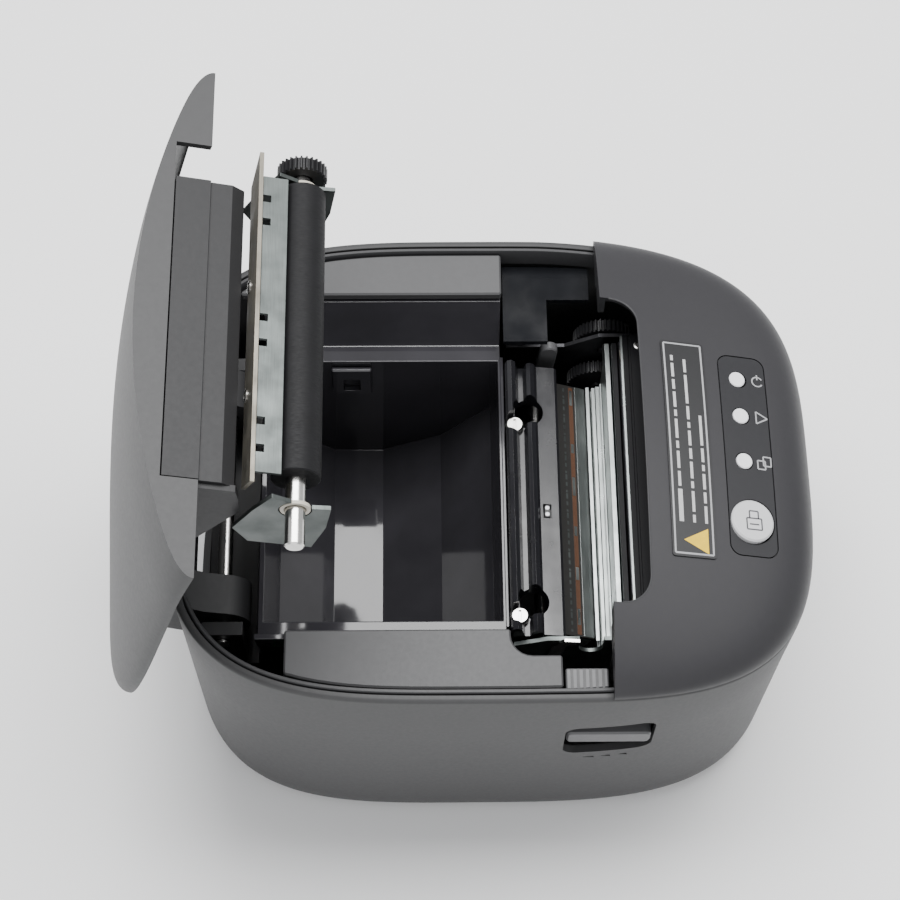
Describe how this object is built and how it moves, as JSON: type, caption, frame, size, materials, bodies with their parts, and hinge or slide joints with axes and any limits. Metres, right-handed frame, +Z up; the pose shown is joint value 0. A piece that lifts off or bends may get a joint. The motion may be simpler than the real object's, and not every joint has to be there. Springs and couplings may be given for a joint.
{
  "type": "receipt printer",
  "caption": "Desktop receipt printer with a drop-in paper bay and a hinged rear cover that stands open; paper leaves through a slot in front of the cover, beside a control panel.",
  "frame": {"origin": "centre of the bounding box with the cover open, on the surface under the feet", "axes": "+X to the printer's right as seen from its front, +Y from the control panel to the hinge, +Z up"},
  "size_m": [0.145, 0.1996, 0.192],
  "materials": {
    "housing_grey": "fine moulded texture, satin",
    "cover_charcoal": "fine moulded texture, satin charcoal",
    "liner_grey": "fine moulded texture",
    "ledge_grey": "fine moulded texture",
    "black_gloss": "polished black",
    "black_plastic": "satin black",
    "panel_black": "smooth satin",
    "button_grey": "smooth pale grey",
    "light_white": "milky translucent",
    "label_black": "printed film",
    "sheet_steel": "zinc-plated sheet",
    "blade_steel": "ground edge",
    "bright_steel": "turned and polished",
    "aluminium": "extruded",
    "ceramic": "glazed ceramic with a resistor line",
    "platen_rubber": "ground rubber",
    "gear_plastic": "moulded gear plastic",
    "bush_plastic": "natural bearing plastic",
    "circuit_board": "solder mask",
    "foot_rubber": "matte"
  },
  "bodies": {
    "base": {"lower_housing": "housing_grey", "bottom_plate": "housing_grey", "front_cover": "cover_charcoal", "inner_rim": "liner_grey", "lever_scoop": "liner_grey", "ledge_left": "ledge_grey", "ledge_right": "ledge_grey", "guide_block": "ledge_grey", "roll_bucket": "black_gloss", "gear_deck": "black_gloss", "guide_frame": "black_gloss", "near_end_sensor": "black_gloss", "hinge_tray": "black_plastic", "rear_panel": "black_plastic", "power_jack": "black_plastic", "drawer_port": "black_plastic", "usb_port": "black_plastic", "paper_sensor": "black_plastic", "control_panel": "panel_black", "power_light": "light_white", "error_light": "light_white", "paper_light": "light_white", "info_label": "label_black", "front_plate": "sheet_steel", "paper_guide": "sheet_steel", "side_frame_left": "sheet_steel", "side_frame_right": "sheet_steel", "cutter_frame": "sheet_steel", "cutter_cover": "sheet_steel", "feed_motor": "sheet_steel", "hinge_pin": "bright_steel", "frame_screw_left": "bright_steel", "frame_screw_right": "bright_steel", "heat_sink": "aluminium", "print_head": "ceramic", "main_board": "circuit_board", "foot_front_left": "foot_rubber", "foot_front_right": "foot_rubber", "foot_back_left": "foot_rubber", "foot_back_right": "foot_rubber"},
    "cover": {"cover_shell": "housing_grey", "cover_liner": "liner_grey", "platen_bracket_left": "sheet_steel", "platen_bracket_right": "sheet_steel", "platen_bush_left": "bush_plastic", "platen_bush_right": "bush_plastic", "fixed_blade": "blade_steel", "blade_bracket": "sheet_steel"},
    "platen": {"platen_roller": "platen_rubber", "platen_shaft": "bright_steel", "platen_gear": "gear_plastic"},
    "feed_pinion_body": {"feed_pinion": "gear_plastic"},
    "feed_idler_body": {"feed_idler": "gear_plastic"},
    "cutter_blade": {"moving_blade": "blade_steel"},
    "cutter_reset": {"reset_gear": "gear_plastic"},
    "latch": {"latch_rod": "bright_steel", "latch_lever": "ledge_grey"},
    "release_lever": {"open_lever": "ledge_grey"},
    "feed_key": {"feed_button": "button_grey"},
    "rocker": {"power_switch": "black_plastic"}
  },
  "joints": [
    {"name": "cover_hinge", "type": "hinge", "parent": "base", "child": "cover", "pos_m": [0, 0.0676, 0.077], "axis": [1, 0, 0], "range_deg": [0, 75]},
    {"name": "platen_spin", "type": "hinge", "parent": "cover", "child": "platen", "pos_m": [0, 0.04186, 0.17808], "axis": [1, 0, 0], "continuous": true},
    {"name": "feed_idler_spin", "type": "hinge", "parent": "base", "child": "feed_idler_body", "pos_m": [0.046, -0.04307, 0.06463], "axis": [1, 0, 0], "continuous": true},
    {"name": "feed_pinion_spin", "type": "hinge", "parent": "base", "child": "feed_pinion_body", "pos_m": [0.046, -0.04664, 0.05364], "axis": [1, 0, 0], "continuous": true},
    {"name": "blade_slide", "type": "slide", "parent": "base", "child": "cutter_blade", "axis": [0, 1, 0], "range_m": [0, 0.007]},
    {"name": "reset_gear_turn", "type": "hinge", "parent": "base", "child": "cutter_reset", "pos_m": [0.0528, -0.0444, 0.078], "axis": [1, 0, 0], "range_deg": [-134, 0]},
    {"name": "latch_turn", "type": "hinge", "parent": "base", "child": "latch", "pos_m": [0, -0.0244, 0.056], "axis": [1, 0, 0], "range_deg": [-8, 0], "stiffness_Nm_per_rad": 0.05, "springref_deg": 5.73},
    {"name": "open_lever_press", "type": "slide", "parent": "base", "child": "release_lever", "axis": [0, 0, -1], "range_m": [0, 0.003]},
    {"name": "feed_button_press", "type": "slide", "parent": "base", "child": "feed_key", "axis": [0, 0.2607, -0.9654], "range_m": [0, 0.0012], "stiffness_N_per_m": 800, "springref_m": -0.0006},
    {"name": "power_switch_rock", "type": "hinge", "parent": "base", "child": "rocker", "pos_m": [0.03, 0.0696, 0.022], "axis": [1, 0, 0], "range_deg": [0, 12]}
  ],
  "couplings": [
    {"joint": "feed_pinion_spin", "follows": "feed_idler_spin", "ratio": -3.3333},
    {"joint": "reset_gear_turn", "follows": "blade_slide", "rad_per_m": -333.77},
    {"joint": "open_lever_press", "follows": "latch_turn", "m_per_rad": -0.021464}
  ]
}
